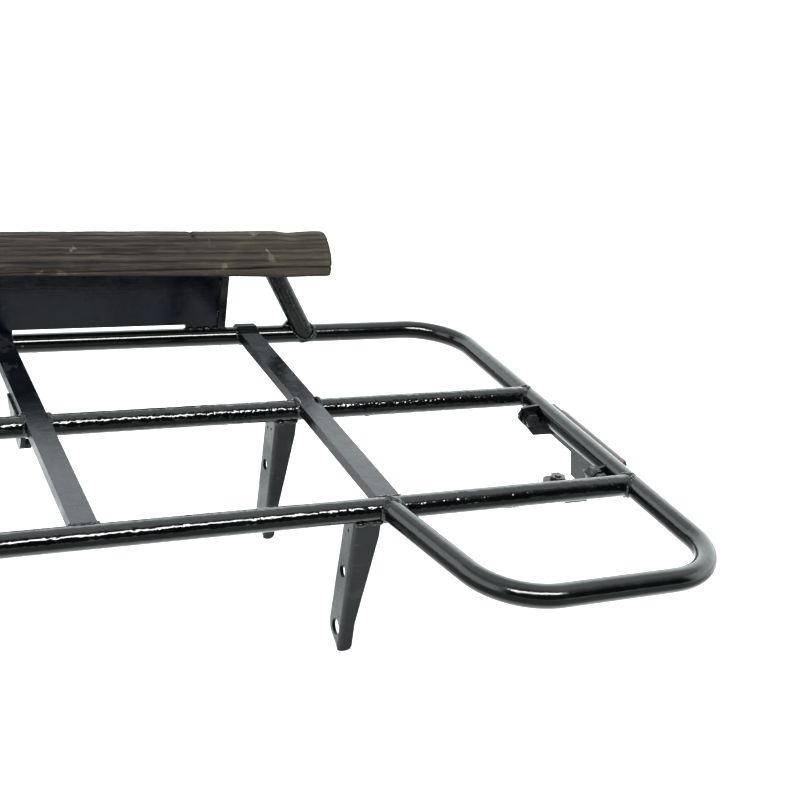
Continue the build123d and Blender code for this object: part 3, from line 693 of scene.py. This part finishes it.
def build_pad():
    x0, x1, y0, y1, z0, z1 = PAD
    base = pad_profile()
    NP = 264
    prof, arc, total = resample(base, NP)
    cen = prof.mean(0)
    nxt = np.roll(prof, -1, 0) - np.roll(prof, 1, 0)
    nrm = np.stack([nxt[:, 1], -nxt[:, 0]], 1)
    nrm /= np.linalg.norm(nrm, axis=1)[:, None]
    flip = np.sum(nrm * (prof - cen), 1).mean()
    if flip < 0:
        nrm = -nrm
    # grooves run along the pad, up the front, over the top and down the back; the lowest is a deep slit
    under = arc > 99.0
    grooves = [(12.0, 2.4, 0.8), (19.6, 0.6, 0.8), (28.5, 1.0, 0.9), (33.2, 0.5, 0.8), (38.0, 0.8, 0.9), (43.5, 1.1, 0.9), (51.0, 0.8, 1.0),
               (58.5, 1.0, 1.0), (66.0, 0.8, 1.0), (74.0, 1.0, 1.0), (82.0, 0.9, 1.0), (90.0, 1.0, 1.0)]
    near = np.min(np.abs(arc[:, None] - np.array([g[0] for g in grooves])[None, :]), 1)
    ridge = np.clip(near / 3.6, 0, 1)
    xs = [x0]
    step = 2.4
    while xs[-1] + step < x1:
        xs.append(xs[-1] + step)
    xs.append(x1)
    verts, faces, groove_shade, rid = [], [], [], []
    for i, x in enumerate(xs):
        ax = abs(x)
        tip = smooth((ax - (x1 - 3.2)) / 3.2)
        wave = 0.55 * noise.noise(Vector((x * 0.008, 3.1, 0))) + 0.30 * noise.noise(Vector((x * 0.03, 7.7, 0)))
        # the skirts are cut shorter towards the middle
        zb = float(np.interp(ax, [0, 92, 195, 249, 287, 345], [219.0, 217.6, 215.4, 214.0, 212.7, 212.6]))
        slit = float(np.interp(ax, [0, 280], [5.8, 12.0]))
        zb += 0.5 * noise.noise(Vector((x * 0.02, 12.1, 0)))
        for j in range(NP):
            y, z = prof[j]
            ny, nz = nrm[j]
            s_ = arc[j]
            d = 0.0
            cv = 0.0
            for gi, (g, dep, w) in enumerate(grooves):
                off = s_ - (slit if gi == 0 else g) - 0.5 * noise.noise(Vector((x * 0.012, gi * 2.7, 0.0)))
                if abs(off) > 5:
                    continue
                k = math.exp(-(off / w) ** 2)
                v = 0.80 + 0.45 * noise.noise(Vector((x * 0.022, gi * 3.3, 1.0)))
                d -= dep * k * v
                # painted shade in the grooves, strongest in the slit
                cv += k * v * (1.25 if gi == 0 else 0.62)
            d += 0.35 * noise.noise(Vector((x * 0.02, s_ * 0.05, 2.0)))
            d += 0.20 * noise.noise(Vector((x * 0.09, s_ * 0.35, 5.0)))
            d += 0.16 * noise.noise(Vector((x * 0.30, s_ * 0.9, 8.0)))
            d -= 0.9 * tip
            # a thin lip along the lower front edge, with painted shade along it
            lip = math.exp(-((s_ - 2.6) / 1.5) ** 2)
            cv += 0.75 * lip
            d -= 0.35 * lip
            yy, zz = y + ny * d, z + nz * d
            if zz < 232.0:
                zz = 232.0 - (232.0 - zz) * (232.0 - zb) / (232.0 - 213.6)
            zf = (z - 213.6) / 39.6
            zz += wave * zf
            dip = math.exp(-((ax - 299.0) / 13.0) ** 2) * 1.7 + math.exp(-((x + 120.0) / 22.0) ** 2) * 0.8
            zz -= dip * smooth((zf - 0.55) / 0.45)
            # a split across the top front edge, with painted shade in it
            ck = math.exp(-((x - 191.0 - 2.2 * noise.noise(Vector((0, s_ * 0.3, 4.0)))) / 1.5) ** 2)
            ontop = smooth((s_ - 40) / 6) * (1 - smooth((s_ - 66) / 8))
            yy -= ny * 1.8 * ck * ontop
            zz -= nz * 1.8 * ck * ontop
            verts.append((x, yy, zz))
            rim = math.exp(-((ax - (x1 - 5.2)) / 1.3) ** 2)
            # painted shade mask: grooves, the split, the very ends and the underside get darker
            groove_shade.append(min(1.0, cv * 0.9 + ck * ontop * 0.9 + 0.95 * smooth((ax - (x1 - 2.9)) / 1.4) + (0.3 if under[j] else 0)))
            rid.append(min(1.4, (0.0 if under[j] else float(ridge[j]) ** 2) + 0.9 * rim))
    n = len(xs)
    for i in range(n - 1):
        for j in range(NP):
            a = i * NP + j
            b = i * NP + (j + 1) % NP
            faces.append((a, b, b + NP, a + NP))
    # ends: the sleeve's wall turns in to the bore, which stops at the core tube's disc; the turned-in wall gets
    # painted shade, darker deeper in
    lo_d, hi_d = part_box("pad_core_end_discs")
    disc = hi_d.x / MM
    for endi, sgn in ((0, -1), (n - 1, 1)):
        ring0 = [endi * NP + j for j in range(NP)]
        prev = ring0
        outer = [Vector(verts[k]) for k in ring0]
        circ = []
        for p in outer:
            an = math.atan2(p.z - CORE_Z, p.y - Y_REAR)
            circ.append((Y_REAR + 10.2 * math.cos(an), CORE_Z + 10.2 * math.sin(an)))
        steps = [(0.05, -0.3), (0.12, -0.7), (0.35, -0.9), (0.7, -1.0), (0.94, -1.1), (1.0, -1.9), (1.0, -(x1 - disc) + 0.6)]
        for t, back in steps:
            ids = []
            for p, c in zip(outer, circ):
                ids.append(len(verts))
                verts.append((p.x + sgn * back + 0.12 * noise.noise(p * 0.4), p.y * (1 - t) + c[0] * t, p.z * (1 - t) + c[1] * t))
                groove_shade.append(0.55 + 0.4 * t * t)
                rid.append(0.0)
            for j in range(NP):
                q = (prev[j], prev[(j + 1) % NP], ids[(j + 1) % NP], ids[j])
                faces.append(q if sgn < 0 else tuple(reversed(q)))
            prev = ids
        c = len(verts)
        verts.append((sgn * (disc + 0.4), Y_REAR, CORE_Z))
        groove_shade.append(0.8)
        rid.append(0.0)
        for j in range(NP):
            q = (prev[j], prev[(j + 1) % NP], c)
            faces.append(q if sgn < 0 else tuple(reversed(q)))
    ob = new_object("ribbed_pad_sleeve", [Vector(v) * MM for v in verts], faces, M_PAD, True, None)
    a1 = ob.data.attributes.new("cavity", "FLOAT", "POINT")
    a1.data.foreach_set("value", np.array(groove_shade, np.float32))
    a2 = ob.data.attributes.new("ridge", "FLOAT", "POINT")
    a2.data.foreach_set("value", np.array(rid, np.float32))
    bm = bmesh.new()
    bm.from_mesh(ob.data)
    bmesh.ops.recalc_face_normals(bm, faces=bm.faces)
    bm.to_mesh(ob.data)
    bm.free()
    return ob


pad = build_pad()
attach(pad, "frame")
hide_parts("ribbed_pad")

# ================================================================ floor, light, camera
def floor():
    me = bpy.data.meshes.new("floor")
    s = 14.0
    me.from_pydata([(-s, -s, 0), (s, -s, 0), (s, s, 0), (-s, s, 0)], [], [(0, 1, 2, 3)])
    ob = bpy.data.objects.new("floor", me)
    COLL.objects.link(ob)
    m = Mat("floor_pale")
    big = m.noise(0.7, 3.0, 0.5)
    col = m.mix(big, (0.875, 0.876, 0.873), (0.895, 0.895, 0.892))
    m.set(Base_Color=col, Roughness=0.75)
    m.p.inputs["Specular IOR Level"].default_value = 0.2
    me.materials.append(m.m)
    ob.location.z = -0.0006


floor()


def area(name, loc, target, size, size_y, power, color=(1, 1, 1)):
    li = bpy.data.lights.new(name, "AREA")
    li.shape = "RECTANGLE"
    li.size, li.size_y = size, size_y
    li.energy = power
    li.color = color
    ob = bpy.data.objects.new(name, li)
    COLL.objects.link(ob)
    ob.location = loc
    d = Vector(target) - Vector(loc)
    ob.rotation_euler = d.to_track_quat("-Z", "Y").to_euler()
    return ob


area("strip_front", (0.03, -1.80, 2.02), (0.03, 0.0, 0.12), 2.75, 0.58, 112)


def sun(name, direction, strength, angle):
    li = bpy.data.lights.new(name, "SUN")
    li.energy = strength
    li.angle = math.radians(angle)
    ob = bpy.data.objects.new(name, li)
    COLL.objects.link(ob)
    ob.rotation_euler = Vector(direction).to_track_quat("-Z", "Y").to_euler()
    return ob


sun("soft_top", (-0.25, -0.35, -1.0), 0.62, 75)

# room: bright wall behind and at both sides, mid ceiling, dark low down on the near side
world = bpy.data.worlds.new("studio")
bpy.context.scene.world = world
world.use_nodes = True
nt = world.node_tree
nt.nodes.clear()


def wn(kind, **props):
    nd = nt.nodes.new(kind)
    for k, v in props.items():
        setattr(nd, k, v)
    return nd


def wmath(op, a, b=0.5, c=None, clamp=False):
    nd = wn("ShaderNodeMath", operation=op)
    nd.use_clamp = clamp
    for i, val in enumerate((a, b, c)):
        if val is None:
            continue
        if isinstance(val, (int, float)):
            nd.inputs[i].default_value = val
        else:
            nt.links.new(val, nd.inputs[i])
    return nd.outputs[0]


def wstep(v, lo, hi):
    nd = wn("ShaderNodeMapRange", interpolation_type="SMOOTHSTEP")
    nt.links.new(v, nd.inputs["Value"])
    nd.inputs["From Min"].default_value = lo
    nd.inputs["From Max"].default_value = hi
    return nd.outputs["Result"]


out = wn("ShaderNodeOutputWorld")
bg = wn("ShaderNodeBackground")
tc = wn("ShaderNodeTexCoord")
sep = wn("ShaderNodeSeparateXYZ")
nt.links.new(tc.outputs["Generated"], sep.inputs[0])
X, Y, Z = sep.outputs[0], sep.outputs[1], sep.outputs[2]
high = wstep(Z, 0.52, 0.70)                        # ceiling
behind = wstep(wmath("ADD", Y, wmath("MULTIPLY", wmath("ABSOLUTE", X), 0.55)), -0.32, 0.10)
low_part = wmath("MULTIPLY_ADD", behind, 3.1, 0.012)
high_part = wmath("MULTIPLY_ADD", behind, 1.0, 0.25)
level = wmath("ADD", wmath("MULTIPLY", low_part, wmath("SUBTRACT", 1.0, high)), wmath("MULTIPLY", high_part, high))
nt.links.new(level, bg.inputs["Strength"])
bg.inputs["Color"].default_value = (0.92, 1.0, 1.0, 1)
nt.links.new(bg.outputs[0], out.inputs[0])

cam_data = bpy.data.cameras.new("camera")
cam_data.lens = 61.832
cam_data.sensor_width = 36.0
cam_data.sensor_fit = "HORIZONTAL"
cam_data.clip_end = 100
cam = bpy.data.objects.new("camera", cam_data)
COLL.objects.link(cam)
right = Vector((0.90380, -0.40739, 0.13105)).normalized()
back = -Vector((0.42445, 0.81426, -0.39600)).normalized()
up = back.cross(right).normalized()
right = up.cross(back).normalized()
mat = Matrix((
    (right.x, up.x, back.x, -0.22348),
    (right.y, up.y, back.y, -1.03606),
    (right.z, up.z, back.z, 0.68352),
    (0, 0, 0, 1),
))
cam.matrix_world = mat
bpy.context.scene.camera = cam
bpy.context.scene.view_settings.view_transform = "Standard"
bpy.context.scene.view_settings.gamma = 0.84
